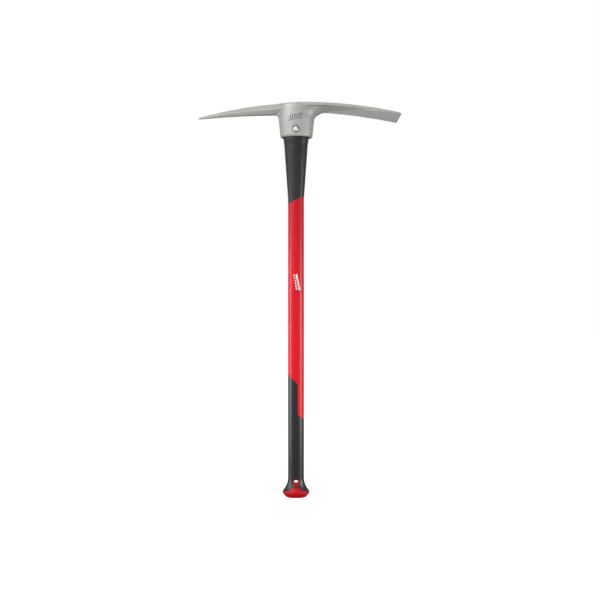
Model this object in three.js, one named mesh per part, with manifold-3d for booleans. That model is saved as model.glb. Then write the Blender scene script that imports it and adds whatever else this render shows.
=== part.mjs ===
// Long-handled pick mattock: forged head on a fibreglass handle with moulded covers.
// Units are millimetres. +Z runs up the handle to the head, the pick points along -X,
// the adze along +X, and the origin is the centre of the flat end of the butt.
import * as THREE from 'three';
import { LoftGeometry } from 'three/addons/geometries/LoftGeometry.js';
import { mergeVertices } from 'three/addons/utils/BufferGeometryUtils.js';
import Module from 'manifold-3d';

const wasm = await Module();
wasm.setup();

// ---- driving dimensions -------------------------------------------------------------------

const OVERALL_HEIGHT = 914.4;
const GAP = 0.3;
const SIDES = 40;
const FAR = 400;

// Oval handle: every section is a superellipse, deeper sections follow one depth ratio.
const OVAL_POWER = 2.4;
const DEPTH_RATIO = 0.78;
const SHAFT_HALF_WIDTH = 18.25;
const RUBBER_THICKNESS = 3;
const CORE_HALF_WIDTH = 13;
const CORE_HALF_DEPTH = 10;
const CORE_BOTTOM_Z = 52;

// Butt: flat end, chamfer, widest bead, then a trumpet that runs into the shaft.
const BUTT_FLAT_HALF_WIDTH = 20.5;
const BUTT_MAX_HALF_WIDTH = 31.5;
const BUTT_MAX_Z = 11.8;
const TRUMPET_TOP_Z = 48;
const TRUMPET_BOTTOM_Z = 16.6;
const TRUMPET_GROWTH = 13;
const TRUMPET_POWER = 2.4;
const TRUMPET_FOOT_Z = 14;
const CAP_TOP_Z = 16;
const CAP_TAB_TOP_Z = 23;
const CAP_TAB_HALF_WIDTH = 10;
const CAP_TAB_BASE_HALF_WIDTH = 16.5;
const LANYARD_Z = 35;
const LANYARD_RADIUS = 5.9;
const BUSH_RADIUS = 8;

// Guard: a taper below the head with a flared collar that enters the eye.
const TAPER_BOTTOM_Z = 676;
const TAPER_START_Z = 694.5;
const TAPER_START_HALF_WIDTH = 18.7;
const COLLAR_BOTTOM_Z = 818;
const COLLAR_BOTTOM_HALF_WIDTH = 27.15;
const COLLAR_TOP_Z = 832;
const COLLAR_HALF_WIDTH = 29.2;
const GUARD_TOP_Z = 838;
const GUARD_EDGE_Z = 691;
const GUARD_EDGE_SLOPE = 18 / 36.5;

// Rear grip: a stepped edge, longer on the +X side of the red jacket.
const GRIP_STEP_X = 3.7;
const GRIP_HIGH_Z = 263;
const GRIP_LOW_Z = 193.6;
const GRIP_EDGE_SLOPE = -21 / 22;

// Head: eye, pick arm and adze arm.
const EYE_BOTTOM_Z = 833;
const EYE_CENTRE_X = 1;
const EYE_POWER = 2.3;
const BORE_BOTTOM_HALF_WIDTH = 29.8;
const BORE_BOTTOM_HALF_DEPTH = 23.6;
const BORE_TAPER = 1.8;
const BORE_POWER = 2.3;
const PICK_REACH = 226.8;
const PICK_ROOT_X = 52;
const PICK_TOP_DROP = 32.8;
const PICK_BOTTOM_ROOT_Z = 889.2;
const PICK_BOTTOM_DROP = 11.2;
const PICK_ROOT_HALF_WIDTH = 14;
const PICK_TIP_HALF_WIDTH = 2;
const PICK_RIDGE_HEIGHT = 0.47;
const ADZE_REACH = 240;
const ADZE_TOP_DROP = 30.9;
const ADZE_EDGE_HALF_WIDTH = 48.5;
const ADZE_EDGE_THICKNESS = 1.5;
const ADZE_SIDE_HEIGHT = 6.4;
const ADZE_FACET_START_X = 69;
const ADZE_FACET_END_X = 172;
const ADZE_KEEL_CREST_X = 101.5;
const ADZE_KEEL_CREST_Z = 895.3;
const ADZE_KEEL_DROP = 13.3;

// Epoxy bed, nylon tenon, and the cross screw with its sleeve nut.
const EPOXY_THICKNESS = 1.2;
const EPOXY_BOTTOM_Z = 842;
const EPOXY_TOP_Z = 910;
const EPOXY_POOL_DEPTH = 2;
const SCREW_X = 0.5;
const SCREW_Z = 851.5;
const SCREW_RADIUS = 4;
const SCREW_HEAD_RADIUS = 6;
const SCREW_HEAD_HEIGHT = 3.8;
const SCREW_FACE_Y = 30.8;
const HEX_KEY_SIZE = 5;
const HEX_KEY_DEPTH = 2.4;
const SLEEVE_RADIUS = 5.5;
const SLEEVE_START_Y = -2;
const COUNTERBORE_RADIUS = 8;
const WASHER_RADIUS = 7.6;
const WASHER_THICKNESS = 1.2;

// ---- helpers ------------------------------------------------------------------------------

function toSolid(geometry) {
  const bare = new THREE.BufferGeometry();
  bare.setAttribute('position', geometry.getAttribute('position'));
  bare.setIndex(geometry.getIndex());
  const merged = mergeVertices(bare, 1e-4);
  const vertProperties = new Float32Array(merged.getAttribute('position').array);
  const triVerts = new Uint32Array(merged.getIndex().array);
  return new wasm.Manifold(new wasm.Mesh({ numProp: 3, vertProperties, triVerts }));
}

function toMesh(name, solid, color, roughness, metalness) {
  const raw = solid.getMesh();
  const geometry = new THREE.BufferGeometry();
  geometry.setAttribute('position', new THREE.BufferAttribute(raw.vertProperties, 3));
  geometry.setIndex(new THREE.BufferAttribute(raw.triVerts, 1));
  geometry.computeVertexNormals();
  const material = new THREE.MeshStandardMaterial({ color, roughness, metalness });
  const mesh = new THREE.Mesh(geometry, material);
  mesh.name = name;
  return mesh;
}

function lerp(a, b, t) {
  return a + (b - a) * t;
}

// One ring of points on a superellipse in a level plane, counter-clockwise from above.
function ovalRing(halfWidth, halfDepth, z, power, centreX = 0) {
  const ring = [];
  for (let i = 0; i < SIDES; i += 1) {
    const angle = (i / SIDES) * Math.PI * 2;
    const c = Math.cos(angle);
    const s = Math.sin(angle);
    const x = centreX + halfWidth * Math.sign(c) * Math.abs(c) ** (2 / power);
    const y = halfDepth * Math.sign(s) * Math.abs(s) ** (2 / power);
    ring.push(new THREE.Vector3(x, y, z));
  }
  return ring;
}

function loft(sections) {
  return toSolid(new LoftGeometry(sections, { capStart: true, capEnd: true }));
}

// A cylinder whose axis runs along Y from y0 to y1 at the cross screw or the lanyard hole.
function crossCylinder(radius, y0, y1, x, z, sides = 32) {
  const geometry = new THREE.CylinderGeometry(radius, radius, y1 - y0, sides);
  geometry.translate(x, (y0 + y1) / 2, z);
  return toSolid(geometry);
}

// A flat outline in the X-Z plane carried through the whole depth of the tool.
function frontPrism(shape) {
  const geometry = new THREE.ExtrudeGeometry(shape, { depth: 2 * FAR, bevelEnabled: false });
  geometry.rotateX(Math.PI / 2);
  geometry.translate(0, FAR, 0);
  return toSolid(geometry);
}

// ---- handle -------------------------------------------------------------------------------

// Half-width against height, from the flat end of the butt up to the collar in the eye.
function handleProfile() {
  const path = new THREE.Path();
  path.moveTo(BUTT_FLAT_HALF_WIDTH, 0);
  path.quadraticCurveTo(BUTT_FLAT_HALF_WIDTH + 2, 0, BUTT_FLAT_HALF_WIDTH + 3.4, 1.4);
  path.lineTo(BUTT_MAX_HALF_WIDTH - 3, 6);
  path.quadraticCurveTo(BUTT_MAX_HALF_WIDTH, 9, BUTT_MAX_HALF_WIDTH, BUTT_MAX_Z);
  path.quadraticCurveTo(BUTT_MAX_HALF_WIDTH, BUTT_MAX_Z + 2.6, 29.1, TRUMPET_BOTTOM_Z);
  for (let z = TRUMPET_BOTTOM_Z + 3; z < TRUMPET_TOP_Z; z += 4) {
    const t = (TRUMPET_TOP_Z - z) / (TRUMPET_TOP_Z - TRUMPET_FOOT_Z);
    path.lineTo(SHAFT_HALF_WIDTH + TRUMPET_GROWTH * t ** TRUMPET_POWER, z);
  }
  path.lineTo(SHAFT_HALF_WIDTH, TRUMPET_TOP_Z + 4);
  path.lineTo(SHAFT_HALF_WIDTH, TAPER_BOTTOM_Z);
  path.lineTo(TAPER_START_HALF_WIDTH, TAPER_START_Z);
  path.lineTo(COLLAR_BOTTOM_HALF_WIDTH, COLLAR_BOTTOM_Z);
  path.quadraticCurveTo(27.9, 825, COLLAR_HALF_WIDTH, COLLAR_TOP_Z);
  path.lineTo(COLLAR_HALF_WIDTH, GUARD_TOP_Z);
  return path.getPoints(4);
}

// The handle's outer skin moved inwards by inset, between two heights.
function handleSkin(inset = 0) {
  const rings = handleProfile().map(
    (p) => ovalRing(p.x - inset, p.x * DEPTH_RATIO - inset, p.y, OVAL_POWER));
  return loft(rings);
}

// What the covers are moulded on: the shaft's skin less one rubber thickness, with a plain
// stub through the butt.
function substrate(growth = 0) {
  const shaft = SHAFT_HALF_WIDTH - RUBBER_THICKNESS + growth;
  const shaftDepth = SHAFT_HALF_WIDTH * DEPTH_RATIO - RUBBER_THICKNESS + growth;
  const top = COLLAR_BOTTOM_HALF_WIDTH - RUBBER_THICKNESS + growth;
  const topDepth = COLLAR_BOTTOM_HALF_WIDTH * DEPTH_RATIO - RUBBER_THICKNESS + growth;
  return loft([
    ovalRing(shaft, shaftDepth, 5 - growth, OVAL_POWER),
    ovalRing(shaft, shaftDepth, TAPER_START_Z, OVAL_POWER),
    ovalRing(top, topDepth, COLLAR_BOTTOM_Z, OVAL_POWER),
    ovalRing(top, topDepth, GUARD_TOP_Z, OVAL_POWER),
  ]);
}

function core(growth = 0, topZ = EPOXY_TOP_Z - EPOXY_POOL_DEPTH - GAP) {
  const a = CORE_HALF_WIDTH + growth;
  const b = CORE_HALF_DEPTH + growth;
  return loft([
    ovalRing(a, b, CORE_BOTTOM_Z - growth, OVAL_POWER),
    ovalRing(a, b, topZ + growth, OVAL_POWER),
  ]);
}

// Everything above the guard's sloping lower edge.
function guardRegion(drop = 0) {
  const edge = (x) => GUARD_EDGE_Z + GUARD_EDGE_SLOPE * x - drop;
  const shape = new THREE.Shape();
  shape.moveTo(-60, edge(-60));
  shape.lineTo(60, edge(60));
  shape.lineTo(60, OVERALL_HEIGHT + 60);
  shape.lineTo(-60, OVERALL_HEIGHT + 60);
  return frontPrism(shape);
}

// Everything below the rear grip's stepped upper edge.
function gripRegion(growth = 0) {
  const reach = 60;
  const shape = new THREE.Shape();
  shape.moveTo(-reach, -20);
  shape.lineTo(reach, -20);
  shape.lineTo(reach, GRIP_LOW_Z + GRIP_EDGE_SLOPE * (reach - GRIP_STEP_X) + growth);
  shape.lineTo(GRIP_STEP_X + growth, GRIP_LOW_Z + growth);
  shape.lineTo(GRIP_STEP_X + growth, GRIP_HIGH_Z + growth);
  shape.lineTo(-reach, GRIP_HIGH_Z - GRIP_EDGE_SLOPE * (reach + GRIP_STEP_X) + growth);
  return frontPrism(shape);
}

// Everything below the cap's edge, with one raised tab on the front and one on the back.
function capRegion(growth = 0) {
  const edge = CAP_TOP_Z + growth;
  const tabTop = CAP_TAB_TOP_Z + growth;
  const tab = CAP_TAB_HALF_WIDTH + growth;
  const base = CAP_TAB_BASE_HALF_WIDTH + growth;
  const middle = (tab + base) / 2;
  const shape = new THREE.Shape();
  shape.moveTo(-60, -20);
  shape.lineTo(60, -20);
  shape.lineTo(60, edge);
  shape.lineTo(base, edge);
  shape.bezierCurveTo(middle, edge, middle, tabTop, tab, tabTop);
  shape.lineTo(-tab, tabTop);
  shape.bezierCurveTo(-middle, tabTop, -middle, edge, -base, edge);
  shape.lineTo(-60, edge);
  const geometry = new THREE.ExtrudeGeometry(shape, {
    depth: 2 * FAR, bevelEnabled: false, curveSegments: 6,
  });
  geometry.rotateX(Math.PI / 2);
  geometry.translate(0, FAR, 0);
  return toSolid(geometry);
}

function lanyardBore(radius) {
  return crossCylinder(radius, -60, 60, 0, LANYARD_Z);
}

function overstrikeGuard() {
  return handleSkin().intersect(guardRegion()).subtract(substrate(GAP)).subtract(
    substrate(GAP).translate([0, 0, GAP * 2]));
}

function handleJacket() {
  const exposed = handleSkin().subtract(guardRegion(GAP)).subtract(gripRegion(GAP));
  const body = exposed.add(substrate());
  const pocket = core(GAP, GUARD_TOP_Z + 10);
  return body.subtract(pocket).subtract(lanyardBore(BUSH_RADIUS + GAP));
}

function rearGrip() {
  const sleeve = handleSkin().intersect(gripRegion()).subtract(capRegion(GAP));
  return sleeve.subtract(substrate(GAP)).subtract(lanyardBore(BUSH_RADIUS + GAP));
}

function buttCap() {
  return handleSkin().intersect(capRegion()).subtract(substrate(GAP));
}

function lanyardBush() {
  const ring = lanyardBore(BUSH_RADIUS).subtract(lanyardBore(LANYARD_RADIUS));
  return ring.intersect(handleSkin());
}

// ---- head ---------------------------------------------------------------------------------

// The taper through the eye, moved inwards by inset, between two heights.
function eyeBore(inset, bottomZ, topZ) {
  const ring = (z) => {
    const t = (z - EYE_BOTTOM_Z) / (OVERALL_HEIGHT - EYE_BOTTOM_Z);
    const a = BORE_BOTTOM_HALF_WIDTH - BORE_TAPER * t - inset;
    const b = BORE_BOTTOM_HALF_DEPTH - BORE_TAPER * t - inset;
    return ovalRing(a, b, z, BORE_POWER);
  };
  return loft([ring(bottomZ), ring(topZ)]);
}

// The socket's outer body: a rounded lower lip, gently widening sides and a crowned top.
function eyeBody() {
  const half = new THREE.Path();
  half.moveTo(33.4, EYE_BOTTOM_Z);
  half.quadraticCurveTo(37.4, EYE_BOTTOM_Z, 37.4, EYE_BOTTOM_Z + 4);
  half.lineTo(41, 874);
  half.quadraticCurveTo(43, 886, 42.4, 896);
  half.quadraticCurveTo(42, 911, 36, OVERALL_HEIGHT);
  const ratio = 0.765;
  return loft(half.getPoints(5).map((p) => ovalRing(p.x, p.x * ratio, p.y, EYE_POWER, EYE_CENTRE_X)));
}

// One six-sided section of the pick arm, with narrow flats at top, bottom and both ridges.
function pickSection(x, topZ, bottomZ, halfWidth) {
  const ridgeZ = lerp(bottomZ, topZ, PICK_RIDGE_HEIGHT);
  const ridgeFlat = halfWidth * 0.07;
  const flat = halfWidth * 0.5;
  const corner = (y, z) => new THREE.Vector3(x, y, z);
  return [
    corner(halfWidth, ridgeZ + ridgeFlat),
    corner(flat, topZ),
    corner(-flat, topZ),
    corner(-halfWidth, ridgeZ + ridgeFlat),
    corner(-halfWidth, ridgeZ - ridgeFlat),
    corner(-flat, bottomZ),
    corner(flat, bottomZ),
    corner(halfWidth, ridgeZ - ridgeFlat),
  ];
}

function pickArm() {
  const sections = [];
  const steps = 12;
  for (let i = 0; i <= steps; i += 1) {
    const reach = lerp(PICK_REACH, PICK_ROOT_X, i / steps);
    const topZ = OVERALL_HEIGHT - PICK_TOP_DROP * (reach / PICK_REACH) ** 1.78;
    const bottomZ = PICK_BOTTOM_ROOT_Z - PICK_BOTTOM_DROP * (reach / PICK_REACH) ** 2.14;
    const halfWidth = lerp(PICK_TIP_HALF_WIDTH, PICK_ROOT_HALF_WIDTH, i / steps);
    sections.push(pickSection(-reach, topZ, bottomZ, halfWidth));
  }
  sections.push(pickSection(-46, 913, 887.4, 16));
  sections.push(pickSection(-40, 913.6, 881, 20));
  sections.push(pickSection(-20, OVERALL_HEIGHT, 876, 24));
  return loft(sections);
}

// One section of the adze arm: flat top, upright side strips, and a hull that narrows to the
// ground facet under the blade.
function adzeSection(x, topZ, sideHeight, facetZ, halfWidth, facetHalfWidth) {
  const round = Math.min(1.2, sideHeight * 0.4);
  const corner = (y, z) => new THREE.Vector3(x, y, z);
  return [
    corner(halfWidth, topZ - round),
    corner(halfWidth - round, topZ),
    corner(-halfWidth + round, topZ),
    corner(-halfWidth, topZ - round),
    corner(-halfWidth, topZ - sideHeight),
    corner(-facetHalfWidth, facetZ),
    corner(facetHalfWidth, facetZ),
    corner(halfWidth, topZ - sideHeight),
  ];
}

function adzeTopZ(x) {
  return OVERALL_HEIGHT - ADZE_TOP_DROP * (x / ADZE_REACH) ** 2;
}

// Half-width in plan: nearly straight behind the blade, then flaring to the cutting edge.
function adzeHalfWidth(x) {
  const t = x / ADZE_REACH;
  return 30.5 + 4.2 * t + (ADZE_EDGE_HALF_WIDTH - 34.7) * t ** 2.2;
}

function adzeKeelZ(x) {
  const t = Math.max(0, (x - ADZE_KEEL_CREST_X) / (ADZE_REACH - ADZE_KEEL_CREST_X));
  return ADZE_KEEL_CREST_Z - ADZE_KEEL_DROP * t ** 1.7;
}

function adzeArm() {
  const sections = [
    adzeSection(8, OVERALL_HEIGHT, 8, 876, 29.6, 10),
    adzeSection(40, adzeTopZ(40), 8, 880, 30.9, 8),
    adzeSection(48, adzeTopZ(48), 7.6, 886.4, 31.4, 4),
    adzeSection(58, adzeTopZ(58), 7.2, 890.8, 32, 2),
  ];
  const steps = 12;
  for (let i = 0; i <= steps; i += 1) {
    const x = lerp(ADZE_FACET_START_X, ADZE_FACET_END_X, i / steps);
    const halfWidth = adzeHalfWidth(x);
    const t = (x - ADZE_FACET_START_X) / (ADZE_FACET_END_X - ADZE_FACET_START_X);
    const facet = Math.max(2, (halfWidth - 0.2) * Math.sqrt(t));
    const keelZ = adzeKeelZ(x) - 1.6 * (1 - t) ** 6;
    sections.push(adzeSection(x, adzeTopZ(x), ADZE_SIDE_HEIGHT, keelZ, halfWidth, facet));
  }
  for (let i = 1; i <= 6; i += 1) {
    const x = lerp(ADZE_FACET_END_X, ADZE_REACH, i / 6);
    const thickness = lerp(ADZE_SIDE_HEIGHT, ADZE_EDGE_THICKNESS, i / 6);
    const halfWidth = adzeHalfWidth(x);
    const topZ = adzeTopZ(x);
    sections.push(adzeSection(x, topZ, thickness - 0.1, topZ - thickness, halfWidth, halfWidth - 0.2));
  }
  return loft(sections);
}

// The stepped hole through everything in the eye: screw in front, wider sleeve behind.
function crossBore() {
  const front = crossCylinder(SCREW_RADIUS + GAP, -60, 60, SCREW_X, SCREW_Z);
  const rear = crossCylinder(SLEEVE_RADIUS + GAP, SLEEVE_START_Y - GAP, 60, SCREW_X, SCREW_Z);
  return front.add(rear);
}

function counterboreFloorY() {
  return SCREW_FACE_Y - SCREW_HEAD_HEIGHT - WASHER_THICKNESS - 2 * GAP;
}

function mattockHead() {
  const floor = counterboreFloorY();
  const front = crossCylinder(COUNTERBORE_RADIUS, -60, -floor, SCREW_X, SCREW_Z);
  const back = crossCylinder(COUNTERBORE_RADIUS, floor, 60, SCREW_X, SCREW_Z);
  const forging = eyeBody().add(pickArm()).add(adzeArm());
  const bored = forging.subtract(eyeBore(0, EYE_BOTTOM_Z - 5, OVERALL_HEIGHT + 5));
  return bored.subtract(front).subtract(back).subtract(crossBore());
}

function eyeEpoxy() {
  const outside = eyeBore(GAP, EPOXY_BOTTOM_Z, EPOXY_TOP_Z);
  const inside = eyeBore(GAP + EPOXY_THICKNESS, EPOXY_BOTTOM_Z - 5, EPOXY_TOP_Z - EPOXY_POOL_DEPTH);
  return outside.subtract(inside).subtract(crossBore());
}

function eyeTenon() {
  const top = EPOXY_TOP_Z - EPOXY_POOL_DEPTH - GAP;
  const body = eyeBore(2 * GAP + EPOXY_THICKNESS, GUARD_TOP_Z + GAP, top);
  return body.subtract(core(GAP, top + 5)).subtract(crossBore());
}

function handleCore() {
  return core().subtract(crossBore());
}

// ---- cross fastening ----------------------------------------------------------------------

function hexSocket() {
  const radius = HEX_KEY_SIZE / Math.sqrt(3);
  return crossCylinder(radius, -SCREW_FACE_Y - 1, -SCREW_FACE_Y + HEX_KEY_DEPTH, SCREW_X, SCREW_Z, 6);
}

function crossScrew() {
  const under = -SCREW_FACE_Y + SCREW_HEAD_HEIGHT;
  const head = crossCylinder(SCREW_HEAD_RADIUS, -SCREW_FACE_Y, under, SCREW_X, SCREW_Z);
  const shank = crossCylinder(SCREW_RADIUS, under - 1, 16, SCREW_X, SCREW_Z);
  return head.add(shank).subtract(hexSocket());
}

function sleeveNut() {
  const under = SCREW_FACE_Y - SCREW_HEAD_HEIGHT;
  const head = crossCylinder(SCREW_HEAD_RADIUS, under, SCREW_FACE_Y, SCREW_X, SCREW_Z);
  const sleeve = crossCylinder(SLEEVE_RADIUS, SLEEVE_START_Y, under + 1, SCREW_X, SCREW_Z);
  const thread = crossCylinder(SCREW_RADIUS + GAP, SLEEVE_START_Y - 5, 20, SCREW_X, SCREW_Z);
  return head.add(sleeve).subtract(thread);
}

// A plain washer between a head and its counterbore floor; side is -1 in front, 1 behind.
function washer(side, holeRadius) {
  const floor = counterboreFloorY() + GAP;
  const ends = [side * floor, side * (floor + WASHER_THICKNESS)].sort((a, b) => a - b);
  const disc = crossCylinder(WASHER_RADIUS, ends[0], ends[1], SCREW_X, SCREW_Z);
  return disc.subtract(crossCylinder(holeRadius, ends[0] - 1, ends[1] + 1, SCREW_X, SCREW_Z));
}

// ---- assembly -----------------------------------------------------------------------------

const mattock = new THREE.Group();
mattock.add(
  toMesh('mattock_head', mattockHead(), 0xb4b4b2, 0.5, 0.6),
  toMesh('cross_screw', crossScrew(), 0xc9c9c6, 0.35, 0.9),
  toMesh('screw_washer', washer(-1, SCREW_RADIUS + GAP), 0x4a4a48, 0.5, 0.8),
  toMesh('sleeve_nut', sleeveNut(), 0xc9c9c6, 0.35, 0.9),
  toMesh('nut_washer', washer(1, SLEEVE_RADIUS + GAP), 0x4a4a48, 0.5, 0.8),
  toMesh('eye_epoxy', eyeEpoxy(), 0x2c2b29, 0.45, 0),
  toMesh('eye_tenon', eyeTenon(), 0x35353a, 0.6, 0),
  toMesh('handle_core', handleCore(), 0xc9b98a, 0.5, 0),
  toMesh('overstrike_guard', overstrikeGuard(), 0x2f2f30, 0.7, 0),
  toMesh('handle_jacket', handleJacket(), 0xd9222e, 0.45, 0),
  toMesh('rear_grip', rearGrip(), 0x2f2f30, 0.7, 0),
  toMesh('butt_cap', buttCap(), 0xd01a24, 0.45, 0),
  toMesh('lanyard_bush', lanyardBush(), 0xc01a26, 0.45, 0),
);

export default mattock;
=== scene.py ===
"""Pick mattock: finished surfaces, finishes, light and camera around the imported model.

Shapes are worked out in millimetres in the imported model's own axes and become metres when a
mesh is made. +Z runs up the handle to the head, the pick points along -X, the adze along +X,
and the cross screw's head faces -Y.
"""

import logging
import math
from dataclasses import dataclass, field
from enum import Enum
from typing import Any, Callable

import bmesh
import bpy
import numpy as np
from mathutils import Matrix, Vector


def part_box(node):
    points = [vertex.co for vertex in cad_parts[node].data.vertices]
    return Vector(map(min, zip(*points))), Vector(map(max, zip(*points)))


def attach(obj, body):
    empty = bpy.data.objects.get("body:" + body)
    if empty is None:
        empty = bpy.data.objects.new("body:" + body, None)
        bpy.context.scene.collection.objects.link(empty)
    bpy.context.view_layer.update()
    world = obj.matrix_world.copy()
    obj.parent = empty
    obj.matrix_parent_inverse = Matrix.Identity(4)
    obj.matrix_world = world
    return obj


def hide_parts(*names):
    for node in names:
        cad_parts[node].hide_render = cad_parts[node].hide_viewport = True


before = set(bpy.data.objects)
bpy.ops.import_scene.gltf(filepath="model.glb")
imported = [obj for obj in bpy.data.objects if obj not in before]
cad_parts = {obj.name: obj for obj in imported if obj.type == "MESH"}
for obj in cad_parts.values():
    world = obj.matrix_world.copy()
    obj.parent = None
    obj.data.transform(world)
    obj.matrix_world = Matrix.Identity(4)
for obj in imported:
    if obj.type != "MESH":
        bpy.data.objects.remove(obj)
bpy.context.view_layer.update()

MM = 0.001
LOG = logging.getLogger("mattock")
Array = np.ndarray
Field = Callable[[Array, Array, Array], Array]


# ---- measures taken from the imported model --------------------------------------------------


@dataclass(frozen=True)
class Extent:
    """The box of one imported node, in millimetres."""

    low: tuple[float, float, float]
    high: tuple[float, float, float]

    @classmethod
    def of(cls, node: str) -> "Extent":
        """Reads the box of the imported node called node."""
        low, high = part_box(node)
        return cls(tuple(v / MM for v in low), tuple(v / MM for v in high))

    def middle(self, axis: int) -> float:
        """Returns the box's centre along one axis."""
        return (self.low[axis] + self.high[axis]) / 2

    def size(self, axis: int) -> float:
        """Returns the box's length along one axis."""
        return self.high[axis] - self.low[axis]


HEAD_BOX = Extent.of("mattock_head")
GUARD_BOX = Extent.of("overstrike_guard")
CAP_BOX = Extent.of("butt_cap")
BUSH_BOX = Extent.of("lanyard_bush")
SCREW_BOX = Extent.of("cross_screw")
NUT_BOX = Extent.of("sleeve_nut")
EPOXY_BOX = Extent.of("eye_epoxy")
SCREW_WASHER_BOX = Extent.of("screw_washer")


# ---- curves and blends ---------------------------------------------------------------------


def smooth_max(a: Array, b: Array, width: Array | float) -> Array:
    """Larger of two fields with the corner rounded over.

    max(a, b) plus a quarter of width times the square of how near the two are, as a share.

    Args:
        a: First field.
        b: Second field.
        width: How far apart the fields are where the rounding ends.

    Returns:
        The blended field.
    """
    near = np.maximum(width - np.abs(a - b), 0) / width
    return np.maximum(a, b) + near * near * width / 4


def smooth_min(a: Array, b: Array, width: Array | float) -> Array:
    """Smaller of two fields with the valley filled: smooth_max with both signs turned."""
    return -smooth_max(-a, -b, width)


def ease(t: Array) -> Array:
    """Smooth step from 0 to 1: 3 t squared less 2 t cubed, with t held between 0 and 1."""
    t = np.clip(t, 0, 1)
    return t * t * (3 - 2 * t)


def oval_distance(x: Array, y: Array, half_x: Array, half_y: Array, power: float) -> Array:
    """Distance outside a superellipse, measured along the line to its centre.

    With r the power mean of x / half_x and y / half_y, it is rho (1 - 1 / r).

    Args:
        x: Offset from the centre along X.
        y: Offset from the centre along Y.
        half_x: Half-width of the oval.
        half_y: Half-depth of the oval.
        power: Exponent of the oval, 2 for an ellipse.

    Returns:
        The distance, negative inside.
    """
    share = (np.abs(x / half_x) ** power + np.abs(y / half_y) ** power) ** (1 / power)
    share = np.maximum(share, 1e-6)
    return np.hypot(x, y) * (1 - 1 / share)


def oval_ring(turn: Array, half_x: Array, half_y: Array, power: float) -> tuple[Array, Array]:
    """Points on a superellipse: each half-size times cosine or sine to the power 2 / power.

    Args:
        turn: Angles in radians.
        half_x: Half-width.
        half_y: Half-depth.
        power: Exponent of the oval.

    Returns:
        The x and y arrays.
    """
    c, s = np.cos(turn), np.sin(turn)
    x = half_x * np.sign(c) * np.abs(c) ** (2 / power)
    y = half_y * np.sign(s) * np.abs(s) ** (2 / power)
    return x, y


def bezier(points: list[tuple[float, float]], steps: int) -> Array:
    """A quadratic or cubic curve through control points, as rows of two numbers.

    Bernstein weights: binomial times t to the i times (1 - t) to the n - i.

    Args:
        points: Three or four control points.
        steps: Number of rows, both ends included.

    Returns:
        An array of shape (steps, 2).
    """
    t = np.linspace(0, 1, steps)[:, None]
    n = len(points) - 1
    terms = [math.comb(n, i) * t**i * (1 - t) ** (n - i) * np.array(p) for i, p in enumerate(points)]
    return sum(terms)


# ---- meshes --------------------------------------------------------------------------------


def make_piece(name: str, points: Array, faces: Array | list, sharp: float = 40.0) -> bpy.types.Object:
    """Makes a mesh object from points in millimetres.

    Args:
        name: The piece's name.
        points: Array of shape (n, 3), in millimetres.
        faces: One array of face corners, or a list of such arrays, each of 3 or 4 columns.
        sharp: Angle in degrees past which an edge is shaded as a corner.

    Returns:
        The new object, at the origin.
    """
    groups = faces if isinstance(faces, list) else [faces]
    groups = [g for g in groups if len(g)]
    corners = np.concatenate([g.ravel() for g in groups]).astype(np.int32)
    counts = np.concatenate([np.full(len(g), g.shape[1]) for g in groups]).astype(np.int32)
    starts = np.concatenate([[0], np.cumsum(counts)[:-1]]).astype(np.int32)
    mesh = bpy.data.meshes.new(name)
    mesh.vertices.add(len(points))
    mesh.vertices.foreach_set("co", (points * MM).astype(np.float32).ravel())
    mesh.loops.add(len(corners))
    mesh.loops.foreach_set("vertex_index", corners)
    mesh.polygons.add(len(counts))
    mesh.polygons.foreach_set("loop_start", starts)
    mesh.update(calc_edges=True)
    mesh.validate()
    mesh.shade_smooth()
    mesh.set_sharp_from_angle(angle=math.radians(sharp))
    piece = bpy.data.objects.new(name, mesh)
    bpy.context.scene.collection.objects.link(piece)
    return piece


def ring_faces(rows: int, columns: int, closed: bool = False) -> Array:
    """Quads of a grid whose columns go round and whose rows go along.

    Args:
        rows: Rows of points.
        columns: Points in each row, joined end to start.
        closed: Whether the last row joins the first.

    Returns:
        An array of four columns, facing out when rows rise and columns turn left.
    """
    last = rows if closed else rows - 1
    i, j = np.meshgrid(np.arange(last), np.arange(columns), indexing="ij")
    i, j = i.ravel(), j.ravel()
    up, across = (i + 1) % rows, (j + 1) % columns
    return np.stack([i * columns + j, i * columns + across, up * columns + across, up * columns + j], 1)


def pole_faces(row: int, columns: int, pole: int, start: bool) -> Array:
    """Triangles from one row of a ring grid to a pole.

    Args:
        row: The row's number.
        columns: Points in the row.
        pole: The pole's index.
        start: Whether the pole closes the grid's start, or its end.

    Returns:
        An array of three columns, facing as ring_faces does.
    """
    j = np.arange(columns)
    here, across = row * columns + j, row * columns + (j + 1) % columns
    tip = np.full(columns, pole)
    return np.stack([tip, across, here] if start else [tip, here, across], 1)


def revolved_piece(
    name: str, grid: Array, poles: tuple[Array, Array] | None, sharp: float = 40.0
) -> bpy.types.Object:
    """A piece from a grid of rings, closed by two poles or by joining its last ring to its first.

    Args:
        name: The piece's name.
        grid: Array of shape (rows, columns, 3), in millimetres.
        poles: The points that close the start and the end, or None for a ring.
        sharp: Angle in degrees past which an edge is shaded as a corner.

    Returns:
        The new object.
    """
    rows, columns = grid.shape[:2]
    points = grid.reshape(-1, 3)
    if poles is None:
        return weld(make_piece(name, points, ring_faces(rows, columns, closed=True), sharp))
    count = rows * columns
    points = np.vstack([points, poles[0], poles[1]])
    faces = [
        ring_faces(rows, columns),
        pole_faces(0, columns, count, start=True),
        pole_faces(rows - 1, columns, count + 1, start=False),
    ]
    return weld(make_piece(name, points, faces, sharp))


def weld(piece: bpy.types.Object) -> bpy.types.Object:
    """Joins the points of a piece that lie in one place, which drops faces without area.

    Args:
        piece: The piece, changed in place.

    Returns:
        The same piece.
    """
    form = bmesh.new()
    form.from_mesh(piece.data)
    bmesh.ops.remove_doubles(form, verts=form.verts, dist=0.002 * MM)
    form.to_mesh(piece.data)
    form.free()
    return piece


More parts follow.
